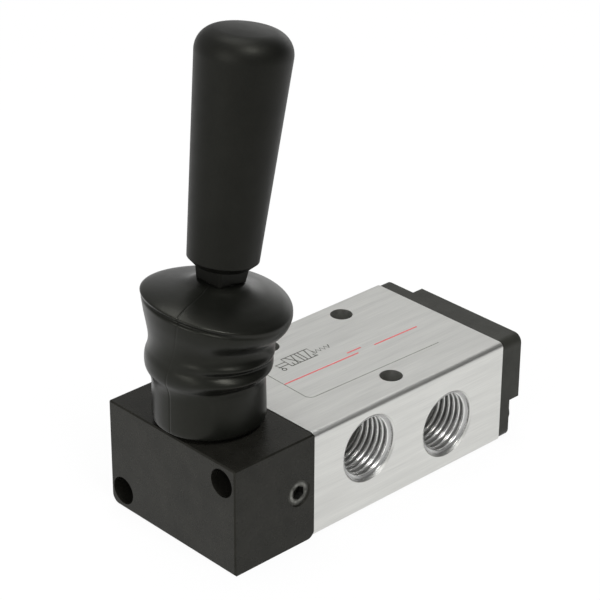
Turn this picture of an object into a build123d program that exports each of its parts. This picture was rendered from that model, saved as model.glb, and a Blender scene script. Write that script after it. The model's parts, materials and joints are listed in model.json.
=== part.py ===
from build123d import *
import math
import os

# Hand lever air valve: a five-port spool valve with a pivoted lever, in millimetres.
# +X runs from the lever block to the end cap, -Y is the side with two ports,
# +Z is up, and the origin is the centre of the body's underside.

# Valve body
body_length = 50.6
body_width = 35.0
body_height = 22.0
body_edge_radius = 1.1
bore_radius = 5.25
gallery_radius = 6.1
gallery_width = 3.2

# Ports: pipe threads drawn at their major diameter, with a chamfered mouth
working_port_radius = 6.58
exhaust_port_radius = 4.86
port_depth = 9.0
port_chamfer = 0.35
passage_radius = 2.2
working_port_middle = -0.45
working_port_spacing = 21.2
high_port_rise = 2.2
low_port_drop = 1.0
supply_port_x = 0.8
exhaust_port_left_margin = 8.0
exhaust_port_right_margin = 6.4

# Mounting holes, straight down through the body
mount_hole_radius = 2.25
mount_hole_near_x = 0.2
mount_hole_near_margin = 5.85
mount_hole_far_margin = 4.85
mount_hole_far_spacing = 19.8

# Lever housing: a block with a round turret
block_length = 19.45
block_edge_chamfer = 0.27
block_far_foot_radius = 2.0
block_joint_foot_radius = 1.6
block_end_wall = 2.1
turret_radius = 8.7
turret_height = 10.8
turret_lip_chamfer = 0.6
boot_groove_depth = 0.6
boot_groove_width = 1.5
boot_groove_height = 1.9
lever_slot_length = 10.4
lever_slot_width = 6.7

# End cap: a flange with a boss that leaves two opposite corners open for the screws
flange_thickness = 2.7
boss_thickness = 2.6
cap_corner_radius = 1.8
recess_width = 7.9
recess_height = 8.3
recess_fillet = 1.5
cap_pocket_depth = 3.0
bumper_thickness = 1.2

# Flat seal rings between the body and its two ends
face_seal_inner_radius = 5.7
face_seal_outer_radius = 7.0
face_seal_thickness = 0.8

# Screws
screw_radius = 1.5
screw_hole_clearance = 0.1
screw_head_radius = 2.75
screw_head_clearance = 0.05
screw_head_chamfer = 0.4
socket_head_height = 3.0
socket_across_flats = 2.5
socket_depth = 1.5
housing_screw_length = 14.0
housing_screw_side_margin = 3.5
housing_screw_edge_margin = 3.8
counterbore_depth = 12.5
cap_screw_length = 10.0
cap_screw_head_height = 2.0

# Lever: rest is the position with the top leaning towards the ports
lever_tilt = 8.1
pivot_rise = 6.0
pin_radius = 1.5
pin_length = 15.0
pin_clearance = 0.04
hub_radius = 3.8
hub_side_clearance = 0.12
ball_end_radius = 2.4
ball_end_clearance = 0.05
lower_stem_radius = 1.5
rod_radius = 3.0
rod_top = 54.0

# Grip, measured up the lever from its pivot
neck_bottom = 21.4
neck_top = 24.6
neck_side_bottom = 6.6
neck_side_top = 7.3
neck_corner_radius = 0.5
grip_bottom = 24.28
grip_bottom_radius = 5.17
grip_chamfer_height = 1.3
grip_lower_radius = 6.57
grip_upper_radius = 8.92
grip_shoulder = 62.6
grip_shoulder_radius = 4.14
grip_crown = 1.11
insert_radius = 4.2
insert_length = 22.0
insert_groove_depth = 0.4

# Shift shaft, detent and spool
shaft_radius = 4.5
shaft_clearance = 0.05
shaft_end_margin = 0.6
spool_start_gap = 0.1
stud_radius = 2.0
stud_length = 6.0
ball_pocket_floor = 3.4
detent_offset = 3.75
detent_ball_radius = 1.6
detent_ball_lift = 0.05
detent_travel = 0.35
detent_channel_clearance = 0.12
set_screw_radius = 2.5
set_screw_length = 5.0
set_screw_recess = 0.3
set_screw_hole_depth = 6.0
set_screw_mouth_chamfer = 0.25
spring_wire_width = 0.4
spring_turns = 6
spool_core_radius = 3.1
spool_collar_radius = 4.9
collar_width = 0.7
seal_inner_radius = 3.7
seal_clearance = 0.05
seal_width = 1.4
wear_ring_inner_radius = 4.3
bumper_gap = 0.1
end_seal_margin = 0.9
wear_ring_margin = 3.3
high_port_seal_offsets = (-3.25, 1.05)
low_port_seal_offsets = (-3.75, 0.75)

# Boot: a moulded rubber bellows, with all its heights measured from the top of the block.
# Its folds are (height, how far they stand out from the skirt), and its crown is
# (height, how far it stands out from the collar round the lever's rod)
boot_wall = 1.1
boot_base_gap = 0.35
boot_turret_clearance = 0.55
boot_rod_clearance = 0.4
boot_skirt_top = 7.3
boot_folds = [
    (8.0, 0.15), (8.8, 0.7), (10.0, 1.1), (11.6, 1.25), (13.2, 1.15), (14.6, 0.95),
    (16.2, 1.0), (18.2, 1.45), (20.4, 2.25), (22.0, 2.85), (23.4, 3.5), (24.1, 3.25),
]
boot_crown = [(24.7, 8.0), (25.2, 6.1), (25.7, 3.9), (26.2, 2.0), (26.9, 0.0)]
boot_bend_start = 7.5
boot_bend_end = 29.0
boot_extra_lean = 3.0

# Derived sizes and places
boot_skirt_radius = turret_radius + boot_turret_clearance + boot_wall
boot_collar_radius = rod_radius + boot_rod_clearance + boot_wall
boot_rings = [(height, boot_skirt_radius + out) for height, out in boot_folds]
boot_rings += [(height, boot_collar_radius + out) for height, out in boot_crown]
spool_axis_height = body_height / 2
pivot_height = body_height + pivot_rise
body_left = -body_length / 2
body_right = body_length / 2
block_left = body_left - block_length
turret_x = (block_left + body_left) / 2
lever_reach = pivot_height - spool_axis_height
ball_shift = lever_reach * math.sin(math.radians(lever_tilt))
spool_stroke = 2 * ball_shift
shaft_right = body_left + spool_start_gap
housing_bore_end = block_left + block_end_wall
shaft_left = housing_bore_end + shaft_end_margin
detent_x = body_left - detent_offset
ball_pocket_x = turret_x - ball_shift
bumper_face = body_right + cap_pocket_depth - bumper_thickness
spool_right = bumper_face - bumper_gap - spool_stroke
turret_top = body_height + turret_height
housing_screw_spots = [
    (-body_width / 2 + housing_screw_side_margin, body_height - housing_screw_edge_margin),
    (body_width / 2 - housing_screw_side_margin, housing_screw_edge_margin),
]
cap_screw_spots = [
    (body_width / 2 - recess_width / 2, body_height - recess_height / 2),
    (-body_width / 2 + recess_width / 2, recess_height / 2),
]
high_port_x = working_port_middle - working_port_spacing / 2
low_port_x = working_port_middle + working_port_spacing / 2
high_port_height = spool_axis_height + high_port_rise
low_port_height = spool_axis_height - low_port_drop
exhaust_port_xs = [body_left + exhaust_port_left_margin, body_right - exhaust_port_right_margin]
mount_hole_near_y = -body_width / 2 + mount_hole_near_margin
mount_hole_far_y = body_width / 2 - mount_hole_far_margin
wear_ring_places = [shaft_right + wear_ring_margin, spool_right - wear_ring_margin]
seal_places = [shaft_right + end_seal_margin, spool_right - end_seal_margin]
seal_places += [high_port_x + offset for offset in high_port_seal_offsets]
seal_places += [low_port_x + offset for offset in low_port_seal_offsets]
far_hole_xs = [supply_port_x - mount_hole_far_spacing / 2, supply_port_x + mount_hole_far_spacing / 2]


def rod_x(radius, x_low, x_high, y=0.0, z=0.0):
    return Pos((x_low + x_high) / 2, y, z) * Cylinder(radius, x_high - x_low, rotation=(0, 90, 0))


def rod_y(radius, y_low, y_high, x=0.0, z=0.0):
    return Pos(x, (y_low + y_high) / 2, z) * Cylinder(radius, y_high - y_low, rotation=(90, 0, 0))


def rod_z(radius, z_low, z_high, x=0.0, y=0.0):
    return Pos(x, y, (z_low + z_high) / 2) * Cylinder(radius, z_high - z_low)


def ring_x(inner_radius, outer_radius, x_low, x_high):
    outer = rod_x(outer_radius, x_low, x_high, z=spool_axis_height)
    return outer - rod_x(inner_radius, x_low, x_high, z=spool_axis_height)


def end_section(corner_radius):
    outline = RectangleRounded(body_width, body_height, corner_radius)
    return Plane.YZ * Pos(0, body_height / 2) * outline


def port_cutter(x, z, radius, side):
    """A blind port from one side face, its chamfered mouth and its passage to the bore."""
    face_y = side * body_width / 2
    mouth = Plane(origin=(x, face_y, z), z_dir=(0, -side, 0))
    cutter = mouth * extrude(Circle(radius), port_depth)
    funnel = loft([Circle(radius + port_chamfer), Pos(0, 0, port_chamfer) * Circle(radius)])
    cutter += mouth * funnel
    cutter += mouth * extrude(Circle(passage_radius), body_width / 2)
    return cutter


def valve_body():
    body = extrude(end_section(body_edge_radius), body_length / 2, both=True)
    body -= rod_x(bore_radius, body_left, body_right, z=spool_axis_height)
    gallery_places = [high_port_x, supply_port_x, low_port_x] + exhaust_port_xs
    for x in gallery_places:
        half = gallery_width / 2
        body -= rod_x(gallery_radius, x - half, x + half, z=spool_axis_height)
    body -= port_cutter(high_port_x, high_port_height, working_port_radius, -1)
    body -= port_cutter(low_port_x, low_port_height, working_port_radius, -1)
    body -= port_cutter(supply_port_x, spool_axis_height, working_port_radius, 1)
    for x in exhaust_port_xs:
        body -= port_cutter(x, spool_axis_height, exhaust_port_radius, 1)
    body -= rod_z(mount_hole_radius, 0, body_height, mount_hole_near_x, mount_hole_near_y)
    for x in far_hole_xs:
        body -= rod_z(mount_hole_radius, 0, body_height, x, mount_hole_far_y)
    housing_screw_end = block_left + counterbore_depth + housing_screw_length
    for y, z in housing_screw_spots:
        body -= rod_x(screw_radius, body_left, housing_screw_end, y, z)
    cap_screw_end = body_right + flange_thickness - cap_screw_length
    for y, z in cap_screw_spots:
        body -= rod_x(screw_radius, cap_screw_end, body_right, y, z)
    return body


def block_shell():
    """The square block: an end outline crossed with a side outline, so each foot edge
    has its own rounding."""
    end_outline = Rectangle(body_width, body_height)
    foot = end_outline.vertices().sort_by(Axis.Y)[:2].sort_by(Axis.X)[-1]
    end_outline = fillet(foot, block_far_foot_radius)
    end_face = Plane.YZ * Pos(0, body_height / 2) * end_outline
    along = Pos(block_left, 0, 0) * extrude(end_face, block_length)
    side_outline = Rectangle(block_length, body_height)
    heel = side_outline.vertices().sort_by(Axis.Y)[:2].sort_by(Axis.X)[-1]
    side_outline = fillet(heel, block_joint_foot_radius)
    side_face = Plane.XZ * Pos(turret_x, body_height / 2) * side_outline
    across = extrude(side_face, body_width, both=True)
    block = along & across
    rim = block.faces().sort_by(Axis.Z)[-1].edges()
    front = block.faces().sort_by(Axis.X)[0].edges().filter_by(Axis.Z)
    return chamfer(ShapeList(rim + front), block_edge_chamfer)


def turret():
    post = rod_z(turret_radius, body_height, turret_top, turret_x)
    lip = post.faces().sort_by(Axis.Z)[-1].edges()
    post = chamfer(lip, turret_lip_chamfer)
    low = body_height + boot_groove_height
    groove = rod_z(turret_radius, low, low + boot_groove_width, turret_x)
    groove -= rod_z(turret_radius - boot_groove_depth, low, low + boot_groove_width, turret_x)
    return post - groove


def lever_housing():
    housing = block_shell() + turret()
    bore = shaft_radius + shaft_clearance
    housing -= rod_x(bore, housing_bore_end, body_left, z=spool_axis_height)
    slot_height = turret_top - spool_axis_height
    slot = Box(lever_slot_length, lever_slot_width, slot_height)
    housing -= Pos(turret_x, 0, spool_axis_height + slot_height / 2) * slot
    housing -= rod_y(pin_radius, -pin_length / 2, turret_radius, turret_x, pivot_height)
    seal_start = body_left - face_seal_thickness
    housing -= ring_x(face_seal_inner_radius, face_seal_outer_radius, seal_start, body_left)
    for y, z in housing_screw_spots:
        floor = block_left + counterbore_depth
        head_hole = screw_head_radius + screw_head_clearance
        housing -= rod_x(head_hole, block_left, floor, y, z)
        housing -= rod_x(screw_radius + screw_hole_clearance, floor, body_left, y, z)
    side = -body_width / 2
    housing -= rod_y(set_screw_radius, side, side + set_screw_hole_depth, detent_x, spool_axis_height)
    channel = detent_ball_radius + detent_channel_clearance
    housing -= rod_y(channel, side, -shaft_radius / 2, detent_x, spool_axis_height)
    mouth = Plane(origin=(detent_x, side, spool_axis_height), z_dir=(0, 1, 0))
    wide = Circle(set_screw_radius + set_screw_mouth_chamfer)
    housing -= mouth * loft([wide, Pos(0, 0, set_screw_mouth_chamfer) * Circle(set_screw_radius)])
    return housing


def end_cap():
    cap = Pos(body_right, 0, 0) * extrude(end_section(cap_corner_radius), flange_thickness + boss_thickness)
    for side in (1, -1):
        centre_z = body_height / 2 + side * (body_height / 2 - recess_height / 2)
        centre_y = side * (body_width / 2 - recess_width / 2)
        corner = RectangleRounded(recess_width * 2, recess_height * 2, recess_fillet)
        shift_y = centre_y + side * recess_width / 2
        shift_z = centre_z + side * recess_height / 2
        recess = extrude(Plane.YZ * Pos(shift_y, shift_z) * corner, boss_thickness)
        cap -= Pos(body_right + flange_thickness, 0, 0) * recess
        hole = screw_radius + screw_hole_clearance
        cap -= rod_x(hole, body_right, body_right + flange_thickness, centre_y, centre_z)
    pocket_end = body_right + cap_pocket_depth
    cap -= rod_x(bore_radius, body_right, pocket_end, z=spool_axis_height)
    seal_end = body_right + face_seal_thickness
    return cap - ring_x(face_seal_inner_radius, face_seal_outer_radius, body_right, seal_end)


def housing_seal():
    low = body_left - face_seal_thickness
    return ring_x(face_seal_inner_radius, face_seal_outer_radius, low, body_left)


def cap_seal():
    high = body_right + face_seal_thickness
    return ring_x(face_seal_inner_radius, face_seal_outer_radius, body_right, high)


def spool_bumper():
    high = body_right + cap_pocket_depth
    radius = bore_radius - seal_clearance
    return rod_x(radius, bumper_face, high, z=spool_axis_height)


def socket_cutter():
    return extrude(RegularPolygon(socket_across_flats / 2, 6, major_radius=False), socket_depth)


def screw(head_height, length):
    """A socket screw standing on the origin plane, head up."""
    head = extrude(Circle(screw_head_radius), head_height)
    head = chamfer(head.faces().sort_by(Axis.Z)[-1].edges(), screw_head_chamfer)
    head -= Pos(0, 0, head_height - socket_depth) * socket_cutter()
    return head + extrude(Circle(screw_radius), -length)


def housing_screws():
    seat = block_left + counterbore_depth
    one = screw(socket_head_height, housing_screw_length)
    places = [Plane(origin=(seat, y, z), z_dir=(-1, 0, 0)) for y, z in housing_screw_spots]
    return Compound(children=[place * one for place in places])


def cap_screws():
    seat = body_right + flange_thickness
    one = screw(cap_screw_head_height, cap_screw_length)
    places = [Plane(origin=(seat, y, z), z_dir=(1, 0, 0)) for y, z in cap_screw_spots]
    return Compound(children=[place * one for place in places])


def lever_pose(part):
    """Carries a piece drawn upright, pivot at the origin, to the leaning lever."""
    return Pos(turret_x, 0, pivot_height) * Rot(0, lever_tilt, 0) * part


def pivot_pin():
    return rod_y(pin_radius, -pin_length / 2, pin_length / 2, turret_x, pivot_height)


def lever_rod():
    rod = Pos(0, 0, -lever_reach) * Sphere(ball_end_radius)
    rod += rod_z(lower_stem_radius, -lever_reach, 0)
    rod += rod_z(rod_radius, 0, rod_top)
    hub_half = lever_slot_width / 2 - hub_side_clearance
    rod += rod_y(hub_radius, -hub_half, hub_half)
    rod -= rod_y(pin_radius + pin_clearance, -hub_half, hub_half)
    return lever_pose(rod)


def grip_profile():
    """Half outline of the handle, from its underside to its crowned top."""
    bottom = grip_bottom + grip_chamfer_height
    rim = grip_shoulder + grip_shoulder_radius
    crown = rim + grip_crown
    foot = Polyline((0, grip_bottom), (grip_bottom_radius, grip_bottom), (grip_lower_radius, bottom))
    side = Line((grip_lower_radius, bottom), (grip_upper_radius, rim))
    crown_middle = (grip_upper_radius / 2, rim + grip_crown * 0.75)
    dome = ThreePointArc((grip_upper_radius, rim), crown_middle, (0, crown))
    axis = Line((0, crown), (0, grip_bottom))
    edges = [foot.edges()[0], foot.edges()[1], side.edge(), dome.edge(), axis.edge()]
    return Plane.XZ * make_face(Wire(edges))


def lever_grip():
    grip = revolve(grip_profile(), Axis.Z)
    rim = grip.edges().filter_by(lambda edge: edge.is_closed).sort_by(Axis.Z)[-1]
    grip = fillet(rim, grip_shoulder_radius)
    small = RectangleRounded(neck_side_bottom, neck_side_bottom, neck_corner_radius)
    large = RectangleRounded(neck_side_top, neck_side_top, neck_corner_radius)
    grip += loft([Pos(0, 0, neck_bottom) * small, Pos(0, 0, neck_top) * large])
    grip -= rod_z(rod_radius, neck_bottom, rod_top)
    grip -= rod_z(insert_radius, rod_top - insert_length, rod_top)
    return lever_pose(grip)


def grip_insert():
    low = rod_top - insert_length
    sleeve = rod_z(insert_radius, low, rod_top) - rod_z(rod_radius, low, rod_top)
    step = insert_length / 5
    for k in (1, 3):
        waist = rod_z(insert_radius, low + k * step, low + (k + 1) * step)
        waist -= rod_z(insert_radius - insert_groove_depth, low + k * step, low + (k + 1) * step)
        sleeve -= waist
    return lever_pose(sleeve)


def bend_share(height):
    """How much of the lever's lean the boot has at a height above the block."""
    share = (height - boot_bend_start) / (boot_bend_end - boot_bend_start)
    share = min(max(share, 0.0), 1.0)
    return share * share * (3 - 2 * share)


def boot_plane(height):
    """The section plane of the bent boot at a height above the block."""
    swing = math.radians(lever_tilt * bend_share(height))
    top = boot_rings[-1][0]
    along = min(max((height - boot_bend_start) / (top - boot_bend_start), 0.0), 1.0)
    lean = swing + math.radians(boot_extra_lean * math.sin(math.pi * along))
    reach = height - pivot_rise
    centre = (turret_x + reach * math.sin(swing), 0, pivot_height + reach * math.cos(swing))
    across = (math.cos(lean), 0, -math.sin(lean))
    upward = (math.sin(lean), 0, math.cos(lean))
    return Plane(origin=centre, x_dir=across, z_dir=upward)


def bellows(inset):
    """The folded upper form, every ring drawn smaller by the inset."""
    rings = [(boot_skirt_top, boot_skirt_radius)] + boot_rings
    sections = [boot_plane(height) * Circle(radius - inset) for height, radius in rings]
    return loft(sections, ruled=True)


def boot():
    base = body_height + boot_base_gap
    skirt_top = body_height + boot_skirt_top
    form = rod_z(boot_skirt_radius, base, skirt_top, turret_x) + bellows(0)
    hollow = rod_z(boot_skirt_radius - boot_wall, base, skirt_top, turret_x) + bellows(boot_wall)
    form -= hollow
    low = body_height + boot_groove_height + boot_groove_width / 4
    bead = rod_z(boot_skirt_radius - boot_wall / 2, low, low + boot_groove_width / 2, turret_x)
    bead -= rod_z(turret_radius - boot_groove_depth / 2, low, low + boot_groove_width / 2, turret_x)
    return form + bead


def detent_distance(lift):
    return shaft_radius + detent_ball_radius + lift


def detent_ball():
    return Pos(detent_x, -detent_distance(detent_ball_lift), spool_axis_height) * Sphere(detent_ball_radius)


def spring_span():
    screw_tip = -body_width / 2 + set_screw_recess + set_screw_length
    ball_back = -detent_distance(detent_ball_lift) - detent_ball_radius
    return screw_tip, ball_back


def detent_spring():
    screw_tip, ball_back = spring_span()
    coil_radius = detent_ball_radius - spring_wire_width
    height = ball_back - screw_tip - spring_wire_width * 1.5
    path = Helix(pitch=height / spring_turns, height=height, radius=coil_radius)
    section = Plane(origin=path @ 0, z_dir=path % 0) * Rectangle(spring_wire_width, spring_wire_width)
    coil = sweep(section, path=path, is_frenet=True)
    coil_end = screw_tip + spring_wire_width * 0.75
    place = Plane(origin=(detent_x, coil_end, spool_axis_height), z_dir=(0, 1, 0))
    return place * coil


def detent_screw():
    start = -body_width / 2 + set_screw_recess
    screw_body = rod_y(set_screw_radius, start, start + set_screw_length, detent_x, spool_axis_height)
    mouth = Plane(origin=(detent_x, start, spool_axis_height), z_dir=(0, 1, 0))
    return screw_body - mouth * socket_cutter()


def shift_shaft():
    shaft = rod_x(shaft_radius, shaft_left, shaft_right, z=spool_axis_height)
    pocket = ball_end_radius + ball_end_clearance
    floor = spool_axis_height - ball_pocket_floor
    shaft -= rod_z(pocket, floor, spool_axis_height + shaft_radius, ball_pocket_x)
    ring_reach = detent_distance(detent_ball_lift) - detent_travel
    for x in (detent_x, detent_x - spool_stroke):
        centre = Plane(origin=(x, 0, spool_axis_height), z_dir=(1, 0, 0))
        shaft -= centre * Torus(ring_reach, detent_ball_radius + detent_ball_lift)
    return shaft - rod_x(stud_radius, shaft_right - stud_length, shaft_right, z=spool_axis_height)


def spool():
    core = rod_x(spool_core_radius, shaft_right, spool_right, z=spool_axis_height)
    seats = [(x, seal_inner_radius) for x in seal_places]
    seats += [(x, wear_ring_inner_radius) for x in wear_ring_places]
    for x, seat_radius in seats:
        half = seal_width / 2
        core += rod_x(seat_radius, x - half, x + half, z=spool_axis_height)
        for low in (x - half - collar_width, x + half):
            start = max(low, shaft_right)
            end = min(low + collar_width, spool_right)
            core += rod_x(spool_collar_radius, start, end, z=spool_axis_height)
    return core + rod_x(stud_radius, shaft_right - stud_length, shaft_right, z=spool_axis_height)


def ring_group(places, inner_radius):
    half = seal_width / 2
    outer = bore_radius - seal_clearance
    return Compound(children=[ring_x(inner_radius, outer, x - half, x + half) for x in places])


def spool_seals():
    return ring_group(seal_places, seal_inner_radius)


def wear_rings():
    return ring_group(wear_ring_places, wear_ring_inner_radius)


pieces = {
    "valve_body": valve_body,
    "lever_housing": lever_housing,
    "end_cap": end_cap,
    "housing_seal": housing_seal,
    "cap_seal": cap_seal,
    "spool_bumper": spool_bumper,
    "housing_screws": housing_screws,
    "cap_screws": cap_screws,
    "pivot_pin": pivot_pin,
    "lever_rod": lever_rod,
    "lever_grip": lever_grip,
    "grip_insert": grip_insert,
    "boot": boot,
    "detent_ball": detent_ball,
    "detent_spring": detent_spring,
    "detent_screw": detent_screw,
    "shift_shaft": shift_shaft,
    "spool": spool,
    "spool_seals": spool_seals,
    "wear_rings": wear_rings,
}

os.makedirs("parts", exist_ok=True)
for name, build in pieces.items():
    export_step(build(), f"parts/{name}.step")
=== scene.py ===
import bpy
import json
import math
from mathutils import Matrix, Vector


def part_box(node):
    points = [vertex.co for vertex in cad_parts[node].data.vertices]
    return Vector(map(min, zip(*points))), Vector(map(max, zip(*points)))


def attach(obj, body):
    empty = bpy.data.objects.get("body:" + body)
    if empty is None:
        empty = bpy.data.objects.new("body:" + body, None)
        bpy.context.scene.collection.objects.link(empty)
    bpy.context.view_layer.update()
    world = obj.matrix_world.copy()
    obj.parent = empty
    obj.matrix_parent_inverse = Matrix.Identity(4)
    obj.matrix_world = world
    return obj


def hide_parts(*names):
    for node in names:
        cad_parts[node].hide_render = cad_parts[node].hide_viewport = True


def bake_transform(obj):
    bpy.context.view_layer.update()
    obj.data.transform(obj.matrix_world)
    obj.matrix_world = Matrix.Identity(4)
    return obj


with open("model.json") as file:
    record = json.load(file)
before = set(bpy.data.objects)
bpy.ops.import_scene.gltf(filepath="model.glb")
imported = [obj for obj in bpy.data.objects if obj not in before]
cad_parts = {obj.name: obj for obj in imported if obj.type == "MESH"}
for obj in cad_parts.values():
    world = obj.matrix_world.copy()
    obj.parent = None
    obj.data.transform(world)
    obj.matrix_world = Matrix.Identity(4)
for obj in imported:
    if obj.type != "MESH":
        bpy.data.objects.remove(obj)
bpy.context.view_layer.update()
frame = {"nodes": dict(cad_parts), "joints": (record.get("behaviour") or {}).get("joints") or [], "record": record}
nodes = frame["nodes"]
mounts = {mount["name"]: mount for mount in frame["record"]["mounts"]}
joints = {joint["name"]: joint for joint in frame["joints"]}

MM = 0.001
PIVOT = Vector(joints["lever_swing"]["pos_m"])
# At rest the lever leans by half of its swing
TILT = math.radians(joints["lever_swing"]["range_deg"][1]) / 2
BODY_LOW, BODY_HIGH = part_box("valve_body")


# ---------------------------------------------------------------- node trees

class NodeTree:
    """Short calls for building one node tree."""

    def __init__(self, tree):
        self.tree = tree

    def node(self, kind, **settings):
        made = self.tree.nodes.new(kind)
        for key, value in settings.items():
            setattr(made, key, value)
        return made

    def feed(self, target, value):
        """Sets an input to a plain value, or links it to the output that is given."""
        if isinstance(value, bpy.types.NodeSocket):
            self.tree.links.new(value, target)
        else:
            target.default_value = value

    def combine(self, operation, one, two):
        made = self.node("ShaderNodeMath", operation=operation)
        self.feed(made.inputs[0], one)
        self.feed(made.inputs[1], two)
        return made.outputs["Value"]

    def vector(self, operation, one, two=None):
        made = self.node("ShaderNodeVectorMath", operation=operation)
        self.feed(made.inputs[0], one)
        if two is not None:
            self.feed(made.inputs[1], two)
        single = operation in ("LENGTH", "DOT_PRODUCT")
        return made.outputs["Value" if single else "Vector"]

    def map_range(self, value, start, end, low=0.0, high=1.0, **settings):
        made = self.node("ShaderNodeMapRange", **settings)
        self.feed(made.inputs["Value"], value)
        limits = {"From Min": start, "From Max": end, "To Min": low, "To Max": high}
        for name, limit in limits.items():
            self.feed(made.inputs[name], limit)
        return made.outputs["Result"]


class Shader(NodeTree):
    """A node material around one Principled shader."""

    def __init__(self, name):
        self.material = bpy.data.materials.new(name)
        self.material.use_nodes = True
        super().__init__(self.material.node_tree)
        self.shader = self.tree.nodes["Principled BSDF"]
        self.position = self.node("ShaderNodeTexCoord").outputs["Object"]

    def set(self, **values):
        """Feeds the shader's inputs, with an underscore for each space in a name."""
        for key, value in values.items():
            self.feed(self.shader.inputs[key.replace("_", " ")], value)

    def stretched(self, scale):
        mapping = self.node("ShaderNodeMapping")
        self.feed(mapping.inputs["Scale"], scale)
        self.feed(mapping.inputs["Vector"], self.position)
        return mapping.outputs["Vector"]

    def noise(self, scale, detail=4.0, roughness=0.5, vector=None):
        made = self.node("ShaderNodeTexNoise")
        self.feed(made.inputs["Scale"], scale)
        self.feed(made.inputs["Detail"], detail)
        self.feed(made.inputs["Roughness"], roughness)
        self.feed(made.inputs["Vector"], vector or self.position)
        return made.outputs["Fac"]

    def ramp(self, value, stops):
        made = self.node("ShaderNodeValToRGB")
        elements = made.color_ramp.elements
        while len(elements) < len(stops):
            elements.new(0.5)
        for element, (place, color) in zip(elements, stops):
            element.position = place
            element.color = (*color, 1)
        self.feed(made.inputs["Fac"], value)
        return made.outputs["Color"]

    def mix(self, factor, one, two, mode="MIX"):
        made = self.node("ShaderNodeMix", data_type="RGBA", blend_type=mode)
        self.feed(made.inputs["Factor"], factor)
        self.feed(made.inputs[6], one)
        self.feed(made.inputs[7], two)
        return made.outputs[2]

    def bump(self, height, strength, distance):
        """Adds relief on top of any relief that the shader already has."""
        made = self.node("ShaderNodeBump")
        self.feed(made.inputs["Strength"], strength)
        self.feed(made.inputs["Distance"], distance)
        self.feed(made.inputs["Height"], height)
        normal = self.shader.inputs["Normal"]
        if normal.is_linked:
            self.feed(made.inputs["Normal"], normal.links[0].from_socket)
        self.feed(normal, made.outputs["Normal"])

    def axis_distance(self, weights, centre=(0.0, 0.0, 0.0)):
        """Distance from an axis, which is the coordinate that has no weight."""
        away = self.vector("SUBTRACT", self.position, centre)
        return self.vector("LENGTH", self.vector("MULTIPLY", away, weights))


# ---------------------------------------------------------------- materials

BLACK, WHITE = (0.0, 0.0, 0.0), (1.0, 1.0, 1.0)
WARM_GLOSS = (1.0, 1.0, 0.88, 1.0)
GRAIN_DEPTH = 0.1 * MM
SCRATCH_DEPTH = 0.04 * MM
TURNING_DEPTH = 0.03 * MM


def mottled(name, dark, light, scale, rough, metallic=0.0, specular=0.5, grain=0.0, grain_scale=2500.0):
    """A plain finish with cloudy colour, uneven gloss and a fine grain."""
    made = Shader(name)
    clouds = made.noise(scale, 5.0, 0.6)
    made.set(
        Base_Color=made.ramp(clouds, [(0.3, dark), (0.7, light)]),
        Roughness=made.map_range(made.noise(scale * 3), 0.0, 1.0, *rough),
        Metallic=metallic,
        Specular_IOR_Level=specular,
        Specular_Tint=WARM_GLOSS,
    )
    if grain:
        made.bump(made.noise(grain_scale, 3.0), grain, GRAIN_DEPTH)
    return made


def brushed(name, dark, light, along, rough, scratches=0.3):
    """Metal brushed along X: long fine streaks in colour, gloss and height."""
    made = Shader(name)
    streaks = made.noise(1.0, 6.0, 0.65, made.stretched((along, 6000, 6000)))
    broad = made.noise(1.0, 3.0, 0.5, made.stretched((along * 0.6, 700, 700)))
    tone = made.mix(0.35, streaks, broad)
    made.set(
        Base_Color=made.ramp(tone, [(0.3, dark), (0.7, light)]),
        Roughness=made.map_range(streaks, 0.0, 1.0, *rough),
        Metallic=1.0,
    )
    made.bump(streaks, scratches, SCRATCH_DEPTH)
    return made


def metal_turned(name, dark, light, rough):
    """Metal with fine tool marks across X."""
    made = mottled(name, dark, light, 900.0, rough, metallic=1.0)
    marks = made.noise(1.0, 3.0, 0.5, made.stretched((9000, 900, 900)))
    made.bump(marks, 0.15, TURNING_DEPTH)
    return made


def worn_screw_with_painted_gap_shade(name, node):
    """Black oxide on a screw along Y, worn bright in a ring round its socket, with painted shade in a dark band
    round the edge of its face, where the gap round the screw falls in shadow.
    """
    dark, light = (0.020, 0.020, 0.018), (0.050, 0.050, 0.047)
    made = mottled(name, dark, light, 1100.0, (0.28, 0.42), metallic=0.7, grain=0.2)
    corners = [Vector(corner) for corner in nodes[node].bound_box]
    centre = sum(corners, Vector()) / len(corners)
    radius = max(corner.x for corner in corners) - centre.x
    reach = made.axis_distance((1 / radius, 0, 1 / radius), centre)
    # The worn ring ends short of the face's edge, so the edge stays dark: painted shade of the gap round the
    # screw.
    ring = made.ramp(reach, [(0.56, BLACK), (0.66, WHITE), (0.78, WHITE), (0.88, BLACK)])
    worn = made.ramp(made.noise(700.0, 3.0, 0.6), [(0.35, BLACK), (0.65, (0.15, 0.15, 0.14))])
    oxide = made.shader.inputs["Base Color"].links[0].from_socket
    made.set(Base_Color=made.mix(ring, oxide, worn, "ADD"))
    return made


def threaded_metal_painted_light(name, radius, depth):
    """Cut aluminium about the local Z axis, with a painted highlight on the crests and painted shade in the roots.
    """
    made = Shader(name)
    reach = made.axis_distance((1, 1, 0))
    height = made.map_range(reach, radius, radius - depth)
    # Colour by depth into the thread: painted shade in the roots and a painted highlight on the crests.
    shade = made.ramp(height, [
        (0.0, (0.42, 0.42, 0.41)), (0.6, (0.50, 0.50, 0.49)), (0.88, (0.78, 0.78, 0.76)),
        (1.0, (0.95, 0.95, 0.93)),
    ])
    streaks = made.noise(1.0, 4.0, 0.6, made.stretched((300, 300, 9000)))
    tint = made.ramp(streaks, [(0.3, (0.8, 0.8, 0.8)), (0.7, WHITE)])
    made.set(
        Base_Color=made.mix(1.0, shade, tint, "MULTIPLY"),
        Roughness=made.map_range(streaks, 0.0, 1.0, 0.18, 0.32),
        Metallic=0.8,
    )
    return made


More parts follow.
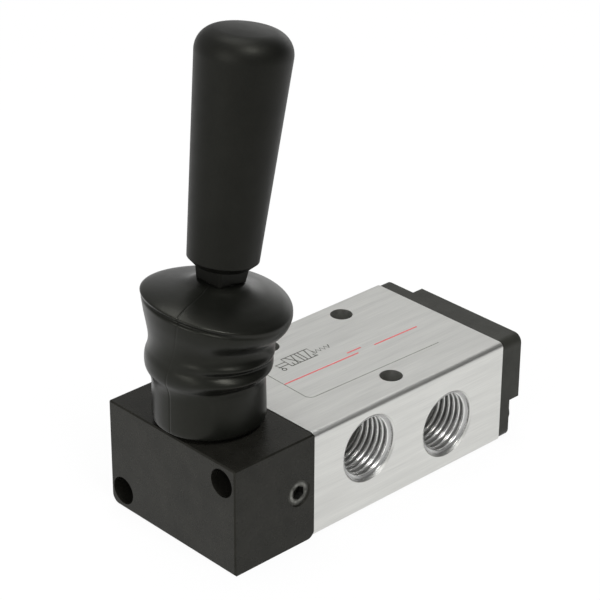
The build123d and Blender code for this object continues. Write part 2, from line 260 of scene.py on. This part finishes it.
MATERIALS = {
    "aluminium": brushed(
        "brushed_aluminium", (0.55, 0.55, 0.53), (0.73, 0.73, 0.70), 90, (0.30, 0.46)),
    "turned": metal_turned(
        "cut_aluminium", (0.62, 0.62, 0.60), (0.82, 0.82, 0.80), (0.20, 0.34)),
    "block": mottled(
        "black_anodised", (0.0075, 0.0073, 0.0060), (0.0145, 0.0140, 0.0117), 180.0, (0.22, 0.33),
        specular=0.16, grain=0.14, grain_scale=5200.0),
    "cap": mottled(
        "black_cap", (0.016, 0.0162, 0.0140), (0.026, 0.0263, 0.0228), 260.0, (0.38, 0.52),
        specular=0.20, grain=0.25, grain_scale=4200.0),
    "boot": mottled(
        "moulded_rubber", (0.0040, 0.0043, 0.0034), (0.0070, 0.0073, 0.0060), 160.0, (0.27, 0.37),
        specular=0.20, grain=0.10, grain_scale=3000.0),
    "grip": mottled(
        "satin_plastic", (0.0036, 0.0037, 0.0031), (0.0060, 0.0061, 0.0052), 140.0, (0.40, 0.52),
        specular=0.15, grain=0.10, grain_scale=3500.0),
    "screw": mottled(
        "black_oxide", (0.012, 0.012, 0.012), (0.030, 0.029, 0.028), 900.0, (0.30, 0.45),
        metallic=0.5, grain=0.2),
    "set_screw": worn_screw_with_painted_gap_shade("worn_oxide_and_painted_gap_shade", "detent_screw"),
    "steel": metal_turned(
        "ground_steel", (0.36, 0.36, 0.36), (0.55, 0.55, 0.54), (0.22, 0.35)),
    "brass": metal_turned(
        "turned_brass", (0.60, 0.42, 0.16), (0.78, 0.58, 0.26), (0.22, 0.35)),
    "seal": mottled(
        "seal_rubber", (0.010, 0.010, 0.010), (0.020, 0.020, 0.019), 700.0, (0.42, 0.6)),
    "wear": mottled(
        "wear_plastic", (0.70, 0.70, 0.66), (0.80, 0.80, 0.77), 500.0, (0.35, 0.5)),
    "ink_grey": mottled(
        "grey_ink", (0.13, 0.14, 0.12), (0.22, 0.23, 0.20), 1500.0, (0.5, 0.65)),
    "ink_dark": mottled(
        "dark_ink", (0.045, 0.05, 0.04), (0.09, 0.09, 0.08), 1500.0, (0.5, 0.65)),
    "ink_red": mottled(
        "red_ink", (0.50, 0.045, 0.055), (0.66, 0.12, 0.12), 1500.0, (0.45, 0.6)),
}

NODE_FINISH = {
    "valve_body": "aluminium", "lever_housing": "block", "end_cap": "cap", "housing_seal": "seal",
    "cap_seal": "seal", "spool_bumper": "seal", "housing_screws": "screw", "cap_screws": "screw",
    "pivot_pin": "steel", "lever_rod": "steel", "lever_grip": "grip", "grip_insert": "brass",
    "boot": "boot", "detent_ball": "steel", "detent_spring": "steel", "detent_screw": "set_screw",
    "shift_shaft": "steel", "spool": "turned", "spool_seals": "seal", "wear_rings": "wear",
}


def dress_cad_nodes():
    for name, finish in NODE_FINISH.items():
        mesh = nodes[name].data
        mesh.materials.clear()
        mesh.materials.append(MATERIALS[finish].material)


# ---------------------------------------------------------------- shapes and meshes

def add_piece(name, vertices, faces, finish, smooth=True):
    mesh = bpy.data.meshes.new(name)
    mesh.from_pydata([tuple(vertex) for vertex in vertices], [], faces)
    mesh.validate()
    mesh.update()
    mesh.polygons.foreach_set("use_smooth", [smooth] * len(mesh.polygons))
    piece = bpy.data.objects.new(name, mesh)
    bpy.context.scene.collection.objects.link(piece)
    mesh.materials.append(MATERIALS[finish].material)
    return piece


def closed_faces(rows, columns):
    """Quads between closed rings of points, with the last ring joined to the first."""
    faces = []
    for row in range(rows):
        below, above = row * columns, ((row + 1) % rows) * columns
        for column in range(columns):
            side = (column + 1) % columns
            faces.append((below + column, below + side, above + side, above + column))
    return faces


def smooth_value(values, place):
    """A Catmull-Rom reading of evenly spaced values, at a place counted in spaces."""
    last = len(values) - 1
    first = min(max(math.ceil(place) - 1, 0), last - 1)
    t = place - first

    def slope(i):
        return 0.0 if i in (0, last) else (values[i + 1] - values[i - 1]) / 2

    t2, t3 = t * t, t * t * t
    start = (2 * t3 - 3 * t2 + 1) * values[first] + (t3 - 2 * t2 + t) * slope(first)
    end = (3 * t2 - 2 * t3) * values[first + 1] + (t3 - t2) * slope(first + 1)
    return start + end


def smoothstep(low, high, value):
    share = min(max((value - low) / (high - low), 0.0), 1.0)
    return share * share * (3 - 2 * share)


def bell(value, centre, width):
    return math.exp(-(((value - centre) / width) ** 2))


# ---------------------------------------------------------------- the rubber boot

# The boot is drawn in millimetres as a straight form over the base plane, then bent with the
# lever. Directions round it are in degrees from +X, the side that the lever leans over.

# Height and radius of the crown, up to the collar round the rod
BOOT_CROWN = [(47.9, 7.9), (48.4, 6.3), (48.95, 5.2), (49.28, 4.4), (49.35, 3.35)]
# Height and radius up the stretched side, and up the squeezed side
STRETCHED = [
    (22.75, 10.0), (22.95, 10.4), (23.4, 10.62), (25.0, 10.66), (29.2, 10.56), (30.8, 10.62),
    (32.0, 10.98), (33.5, 11.76), (35.4, 11.84), (36.8, 11.46), (38.0, 11.38), (39.3, 11.6),
    (40.9, 12.15), (42.5, 12.8), (43.9, 13.32), (44.9, 13.7), (45.5, 13.9), (45.95, 13.78),
    (46.35, 13.2), (46.85, 11.8), (47.4, 9.9),
] + BOOT_CROWN
SQUEEZED = [
    (22.75, 9.8), (22.95, 10.15), (23.4, 10.3), (25.0, 10.34), (29.8, 10.25), (31.0, 10.25),
    (31.8, 10.6), (32.7, 11.1), (34.1, 11.4), (36.1, 11.55), (37.7, 11.6), (38.9, 11.75),
    (40.2, 12.25), (41.7, 13.0), (43.1, 13.55), (44.5, 13.8), (45.3, 13.75), (45.9, 13.55),
    (46.4, 12.95), (46.95, 11.8), (47.45, 9.9),
] + BOOT_CROWN
SQUEEZED_TURN = -40.0
BOOT_TOP = BOOT_CROWN[-1][0]
BOOT_WALL = 1.05
# The least radius, inside the collar round the rod
BOOT_COLLAR = 3.15

# Where the form bends with the lever, and the lean of its middle beyond the lever's
BOOT_BEND_START = 29.5
BOOT_BEND_END = 51.0
BOOT_LEAN = 3.0

# The rim leans sideways and is warped like a saddle, in full between its height and its top
RIM_START = 39.0
RIM_HEIGHT = 45.5
RIM_TOP = 46.5
RIM_SIDE_LEAN = 4.5
RIM_WARP = 0.5
RIM_WARP_TURN = -2.0

# Waves in the surface: height, width along the height, and how far each stands out.
# The folds are on the side of the two ports, and the bead is the edge of the rim
FOLD_TURN = 259.0
FOLD_SPREAD = 40.0
FOLDS = [
    (39.6, 1.5, -0.6), (37.0, 0.65, 0.66), (35.8, 0.5, -0.6), (34.2, 0.75, 0.80),
    (32.2, 0.9, -0.75),
]
BEAD_TURN = 200.0
BEAD_SPREAD = 50.0
BEAD = [(45.85, 0.30, 0.26), (45.05, 0.34, -0.50)]

# The parting line of the mould, deepest on the crown and nearly lost in the waist
PARTING_TURN = 186.0
PARTING_DRIFT = 12.0
PARTING_DRIFT_SPAN = (31, 45)
PARTING_WIDTH = 0.16
PARTING_DEPTH = 0.14
PARTING_CROWN_SPAN = (44, 46)
PARTING_SIDE_SHARE = 0.45
PARTING_WAIST_LOSS = 0.8
WAIST_HEIGHT = 39
WAIST_REACH = 5

BOOT_ROWS = 190
INNER_ROWS = BOOT_ROWS // 3
COARSE_COLUMNS = 150
FINE_COLUMNS = 25
FINE_STEP = 0.3
FINE_MARGIN = 4.5


def turned(angle, centre):
    """Degrees from one direction round the boot to another, -180 to 180."""
    return (math.degrees(angle) - centre + 180) % 360 - 180


def boot_frame(height):
    """Centre and tilted axes of a section of the boot, and its share of the rim's form."""
    swing = TILT * smoothstep(BOOT_BEND_START, BOOT_BEND_END, height)
    along = min(max((height - BOOT_BEND_START) / (BOOT_TOP - BOOT_BEND_START), 0.0), 1.0)
    lean = swing + math.radians(BOOT_LEAN) * math.sin(math.pi * along)
    rim = smoothstep(RIM_START, RIM_HEIGHT, height) * (1 - smoothstep(RIM_TOP, BOOT_TOP, height))
    side_lean = math.radians(RIM_SIDE_LEAN) * rim
    pivot_x, pivot_z = PIVOT.x / MM, PIVOT.z / MM
    reach = height - pivot_z
    centre = Vector((pivot_x + reach * math.sin(swing), 0, pivot_z + reach * math.cos(swing)))
    across = Vector((math.cos(lean), 0, -math.sin(lean)))
    side = Vector((0, math.cos(side_lean), math.sin(side_lean)))
    return centre, across, side, rim


def boot_profile(step, angle):
    """Height and radius a share of the way up the boot (0 to 1), before any waves."""
    squeeze = 0.5 + 0.5 * math.cos(angle - math.radians(SQUEEZED_TURN))
    place = step * (len(STRETCHED) - 1)
    height, radius = 0.0, 0.0
    for share, side in ((1 - squeeze, STRETCHED), (squeeze, SQUEEZED)):
        heights, radii = zip(*side)
        height += share * smooth_value(heights, place)
        radius += share * smooth_value(radii, place)
    return height, radius


def boot_waves(height, angle):
    total = 0.0
    for turn, spread, waves in ((FOLD_TURN, FOLD_SPREAD, FOLDS), (BEAD_TURN, BEAD_SPREAD, BEAD)):
        share = bell(turned(angle, turn), 0, spread)
        total += share * sum(rise * bell(height, centre, width) for centre, width, rise in waves)
    return total


def parting_drift(height):
    """Degrees that the parting line has turned at a height."""
    return PARTING_DRIFT * smoothstep(*PARTING_DRIFT_SPAN, height)


def parting_groove(height, radius, angle):
    across = math.radians(turned(angle, PARTING_TURN + parting_drift(height))) * radius
    crown = smoothstep(*PARTING_CROWN_SPAN, height)
    share = PARTING_SIDE_SHARE + (1 - PARTING_SIDE_SHARE) * crown
    share *= 1 - PARTING_WAIST_LOSS * bell(height, WAIST_HEIGHT, WAIST_REACH)
    return PARTING_DEPTH * share * bell(across, 0, PARTING_WIDTH)


def boot_angles():
    """Directions round the boot, closer together at the parting line."""
    fine = [PARTING_TURN + FINE_STEP * (k - FINE_COLUMNS // 2) for k in range(FINE_COLUMNS)]
    coarse = [360 * k / COARSE_COLUMNS for k in range(COARSE_COLUMNS)]
    coarse = [turn for turn in coarse if abs(turn - PARTING_TURN) > FINE_MARGIN]
    return [math.radians(turn) for turn in sorted(fine + coarse)]


def boot_point(step, angle, inset):
    height, radius = boot_profile(step, angle)
    radius += boot_waves(height, angle)
    radius -= parting_groove(height, radius, angle)
    centre, across, side, rim = boot_frame(height)
    out = across * math.cos(angle) + side * math.sin(angle)
    warp = RIM_WARP * rim * math.cos(2 * (angle - math.radians(RIM_WARP_TURN)))
    return (centre + out * max(radius - inset, BOOT_COLLAR) + Vector((0, 0, warp))) * MM


def boot_rings(inset, rows):
    """Closed rings of points from the foot of the boot to its collar."""
    rings = []
    for row in range(rows):
        step = row / (rows - 1)
        parting_height = boot_profile(step, math.radians(PARTING_TURN))[0]
        twist = math.radians(parting_drift(parting_height))
        rings.append([boot_point(step, angle + twist, inset) for angle in boot_angles()])
    return rings


def make_boot():
    rings = boot_rings(0.0, BOOT_ROWS) + boot_rings(BOOT_WALL, INNER_ROWS)[::-1]
    points = [point for ring in rings for point in ring]
    piece = add_piece("boot_bellows", points, closed_faces(len(rings), len(rings[0])), "boot")
    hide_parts("boot")
    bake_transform(piece)


# ---------------------------------------------------------------- port threads

# Finish, pitch in millimetres and ports of each thread
THREADS = [
    ("thread_working", 1.337, ("port_a", "port_b", "port_p")),
    ("thread_exhaust", 0.907, ("port_r", "port_s")),
]
# Depth and run-in as shares of the pitch, and flat as a share of half a pitch
THREAD_DEPTH = 0.56
THREAD_RUN_IN = (-0.3, 0.4)
THREAD_FLAT = 0.12
THREAD_SKIN = 0.05 * MM
THREAD_COLUMNS = 96
THREAD_STEPS = 12


def thread_height(turns):
    """Ridge with rounded crest and root, from 0 at the root to 1 at the crest."""
    wave = abs((turns % 1.0) * 2 - 1)
    share = min(max((wave - THREAD_FLAT) / (1 - 2 * THREAD_FLAT), 0.0), 1.0)
    return 0.5 - 0.5 * math.cos(math.pi * share)


def make_port_thread(name, finish, pitch):
    """A thread cut into the port's wall: a helical inner face and a plain outer one,
    drawn about the mouth with Z out of the port."""
    mount = mounts[name]
    radius = mount["dims"]["r_mm"] * MM
    length = mount["dims"]["length_mm"] * MM
    axis = Vector(mount["axis"])
    rows = int(length / pitch * THREAD_STEPS)
    turns = [2 * math.pi * column / THREAD_COLUMNS for column in range(THREAD_COLUMNS)]
    points = []
    for row in range(rows + 1):
        down = length * row / rows
        fade = smoothstep(THREAD_RUN_IN[0] * pitch, THREAD_RUN_IN[1] * pitch, down)
        for turn in turns:
            ridge = thread_height(down / pitch - turn / (2 * math.pi))
            reach = radius - THREAD_DEPTH * pitch * ridge * fade
            points.append((reach * math.cos(turn), reach * math.sin(turn), -down))
    skin = radius + THREAD_SKIN
    for down in (length, 0.0):
        points += [(skin * math.cos(turn), skin * math.sin(turn), -down) for turn in turns]
    piece = add_piece("thread_" + name, points, closed_faces(rows + 3, THREAD_COLUMNS), finish)
    mouth = Vector(mount["pos_m"]) + axis * length / 2
    facing = axis.to_track_quat("Z", "X").to_matrix().to_4x4()
    piece.matrix_world = Matrix.Translation(mouth) @ facing
    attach(piece, "housing")


def make_threads():
    for finish, pitch, ports in THREADS:
        pitch *= MM
        radius = mounts[ports[0]]["dims"]["r_mm"] * MM
        MATERIALS[finish] = threaded_metal_painted_light(finish, radius, THREAD_DEPTH * pitch)
        for port in ports:
            make_port_thread(port, finish, pitch)


# ---------------------------------------------------------------- printed marks on the top

# Sizes in millimetres, measured from the corner of the print, which is turned a little.
# The lifts are the underside and the top of the ink above the face
INK_LIFTS = (0.002, 0.012)
PRINT_CORNER = (-17.2, -7.6)
PRINT_SKEW = math.radians(-1.7)
PRINT_WIDTH, PRINT_DEPTH = 33.6, 16.6
PRINT_ROUNDING = 1.4
FRAME_STROKE = 0.2
RED_STROKE = 0.34
# Start, end and rise of each red line
RED_LINES = [(0.1, 19.0, 7.15), (17.2, 20.8, 8.45), (23.5, 35.0, 7.5)]

# The symbol is drawn in units of one square cell, two cells wide
SYMBOL_PLACE = (5.9, 11.6)
SYMBOL_CELL = 3.3
SYMBOL_STROKE = 0.24
SYMBOL_PATHS = [
    [(0, 0), (2, 0), (2, 1), (0, 1), (0, -0.01 / SYMBOL_CELL)], [(1, 0), (1, 1)],
    [(0.25, 0), (0.25, 0.308)], [(0.5, 0), (0.75, 1)], [(0.25, 1), (0.75, 0)],
    [(1.25, 0), (1.25, 1)], [(1.5, 0), (1.75, 1)], [(1.85, 0), (1.85, 0.3)],
    [(0, 0.62), (-0.75, 0.62), (-0.6, 0.1)], [(-0.75, 0.3), (0, 0.3)],
    [(2 + k * 0.16, 0.25 if k % 2 else 0.6) for k in range(9)],
]
KNOB_CENTRE = (-0.6, -0.02)
KNOB_RADIUS = 0.13
KNOB_STEPS = 16


def strip_faces(count, closed):
    """Faces of a flat bar with four points at each stop along it."""
    faces = []
    for i in range(count if closed else count - 1):
        a, b = i * 4, ((i + 1) % count) * 4
        faces += [(a + 2, a + 3, b + 3, b + 2), (a + 1, a, b, b + 1)]
        faces += [(a, a + 2, b + 2, b), (a + 3, a + 1, b + 1, b + 3)]
    if not closed:
        end = (count - 1) * 4
        faces += [(0, 1, 3, 2), (end + 1, end, end + 2, end + 3)]
    return faces


def ink_strip(name, path, width, finish, closed=False):
    """A printed line of even width that follows a path on the top face."""
    points = [Vector((x, y, 0)) * MM for x, y in path]
    count = len(points)
    vertices = []
    for i, point in enumerate(points):
        before = points[i - 1] if i or closed else point
        after = points[(i + 1) % count] if i < count - 1 or closed else point
        along = (after - before).normalized()
        side = Vector((-along.y, along.x, 0)) * width * MM / 2
        for lift in INK_LIFTS:
            height = Vector((0, 0, BODY_HIGH.z + lift * MM))
            vertices += [point + side + height, point - side + height]
    piece = add_piece(name, vertices, strip_faces(count, closed), finish, smooth=False)
    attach(piece, "housing")


def arc(centre, radius, start, end, steps=8):
    turns = [math.radians(start + (end - start) * i / steps) for i in range(steps + 1)]
    return [(centre[0] + radius * math.cos(a), centre[1] + radius * math.sin(a)) for a in turns]


def printed(path, place=(0.0, 0.0), scale=1.0):
    """Carries a path drawn from the corner of the print on to the top face."""
    cos, sin = math.cos(PRINT_SKEW), math.sin(PRINT_SKEW)
    moved = [(x * scale + place[0], y * scale + place[1]) for x, y in path]
    return [(PRINT_CORNER[0] + x * cos - y * sin, PRINT_CORNER[1] + x * sin + y * cos)
            for x, y in moved]


def make_marks():
    r = PRINT_ROUNDING
    outline = [(0, PRINT_DEPTH)] + arc((r, r), r, 180, 270) + [(PRINT_WIDTH, 0)]
    ink_strip("print_frame", printed(outline), FRAME_STROKE, "ink_grey")
    for number, (start, end, rise) in enumerate(RED_LINES):
        line = printed([(start, rise), (end, rise)])
        ink_strip(f"print_line_{number}", line, RED_STROKE, "ink_red")


def make_symbol():
    """The standard drawing of a five-port, two-position valve with a lever and a spring."""
    for number, path in enumerate(SYMBOL_PATHS):
        line = printed(path, SYMBOL_PLACE, SYMBOL_CELL)
        ink_strip(f"print_symbol_{number}", line, SYMBOL_STROKE, "ink_dark")
    knob = arc(KNOB_CENTRE, KNOB_RADIUS, 0, 360, KNOB_STEPS)[:-1]
    line = printed(knob, SYMBOL_PLACE, SYMBOL_CELL)
    ink_strip("print_symbol_knob", line, SYMBOL_STROKE, "ink_dark", closed=True)


# ---------------------------------------------------------------- stage, lights and camera

FLOOR_REACH = 3.0
FLOOR_GAP = 0.05 * MM
FLOOR_GLOW = 0.93

# The studio's brightness, dimmed towards one side and raised towards another. Each side has a
# direction, and the angles in degrees of its full core and of its outer edge
WORLD_LIGHT = 0.55
WORLD_DARK = 0.06
DARK_SIDE = (Vector((0.60, -0.50, 0.62)), 22, 54)
WORLD_GLOW = 1.5
BRIGHT_SIDE = (Vector((0.900, 0.430, 0.0)), 8, 27)

# Place in metres, size and power of each softbox
SOFTBOX_AIM = Vector((-0.01, 0, 0.03))
SOFTBOXES = {
    "key_softbox": ((-0.06, -0.42, 0.80), (0.28, 0.28), 4.6),
    "left_softbox": ((-0.95, -0.10, 0.40), (0.5, 0.6), 4.0),
    "top_softbox": ((0.12, 0.26, 1.0), (0.6, 0.6), 4.0),
}

LOOK_AT = Vector((-4.8, 8.25, 32.3)) * MM
CAMERA_AZIMUTH = math.radians(43.37)
CAMERA_ELEVATION = math.radians(27.3)
CAMERA_ROLL = math.radians(0.28)
CAMERA_DISTANCE = 430 * MM
CAMERA_LENS = 134.8
CAMERA_SENSOR = 36.0


def make_stage():
    """A pale floor that looks evenly lit to the camera and in reflections."""
    made = Shader("stage_white")
    made.set(Base_Color=(0.86, 0.86, 0.86, 1), Roughness=0.9)
    glow = made.node("ShaderNodeEmission")
    made.feed(glow.inputs["Strength"], 1.0)
    path = made.node("ShaderNodeLightPath")
    seen = made.combine("MAXIMUM", path.outputs["Is Camera Ray"], path.outputs["Is Glossy Ray"])
    blend = made.node("ShaderNodeMixShader")
    made.feed(blend.inputs["Fac"], made.combine("MULTIPLY", seen, FLOOR_GLOW))
    made.feed(blend.inputs[1], made.shader.outputs[0])
    made.feed(blend.inputs[2], glow.outputs[0])
    made.feed(made.tree.nodes["Material Output"].inputs["Surface"], blend.outputs[0])
    mesh = bpy.data.meshes.new("floor")
    r = FLOOR_REACH
    mesh.from_pydata([(-r, -r, 0), (r, -r, 0), (r, r, 0), (-r, r, 0)], [], [(0, 1, 2, 3)])
    mesh.materials.append(made.material)
    floor = bpy.data.objects.new("floor", mesh)
    floor.location.z = BODY_LOW.z - FLOOR_GAP
    bpy.context.scene.collection.objects.link(floor)


def side_light(tree, place, side, outside, inside):
    """Brightness that changes towards one side of the studio."""
    direction, core, edge = side
    facing = tree.vector("DOT_PRODUCT", place, direction.normalized())
    start, end = math.cos(math.radians(edge)), math.cos(math.radians(core))
    return tree.map_range(facing, start, end, outside, inside, interpolation_type="SMOOTHSTEP")


def make_world():
    world = bpy.data.worlds.new("studio")
    bpy.context.scene.world = world
    world.use_nodes = True
    tree = NodeTree(world.node_tree)
    place = tree.node("ShaderNodeTexCoord").outputs["Generated"]
    shade = side_light(tree, place, DARK_SIDE, WORLD_LIGHT, WORLD_DARK)
    glow = side_light(tree, place, BRIGHT_SIDE, 0.0, WORLD_GLOW)
    path = tree.node("ShaderNodeLightPath")
    strength = tree.node("ShaderNodeMix")
    tree.feed(strength.inputs["Factor"], path.outputs["Is Camera Ray"])
    tree.feed(strength.inputs["A"], tree.combine("ADD", shade, glow))
    tree.feed(strength.inputs["B"], 1.0)
    background = world.node_tree.nodes["Background"]
    tree.feed(background.inputs["Color"], (1, 1, 1, 1))
    tree.feed(background.inputs["Strength"], strength.outputs["Result"])


def make_lights():
    for name, (place, size, power) in SOFTBOXES.items():
        light = bpy.data.lights.new(name, "AREA")
        light.shape = "RECTANGLE"
        light.size, light.size_y = size
        light.energy = power
        lamp = bpy.data.objects.new(name, light)
        lamp.location = place
        lamp.rotation_euler = (SOFTBOX_AIM - Vector(place)).to_track_quat("-Z", "Y").to_euler()
        bpy.context.scene.collection.objects.link(lamp)


def make_camera():
    data = bpy.data.cameras.new("camera")
    data.sensor_width = CAMERA_SENSOR
    data.lens = CAMERA_LENS
    camera = bpy.data.objects.new("camera", data)
    back = Vector((
        -math.sin(CAMERA_AZIMUTH) * math.cos(CAMERA_ELEVATION),
        -math.cos(CAMERA_AZIMUTH) * math.cos(CAMERA_ELEVATION),
        math.sin(CAMERA_ELEVATION),
    ))
    camera.location = LOOK_AT + back * CAMERA_DISTANCE
    aim = (-back).to_track_quat("-Z", "Y").to_matrix().to_4x4()
    camera.rotation_euler = (aim @ Matrix.Rotation(CAMERA_ROLL, 4, "Z")).to_euler()
    bpy.context.scene.collection.objects.link(camera)
    bpy.context.scene.camera = camera


dress_cad_nodes()
make_boot()
make_threads()
make_marks()
make_symbol()
make_stage()
make_world()
make_lights()
make_camera()

bpy.context.scene.view_settings.view_transform = "Standard"
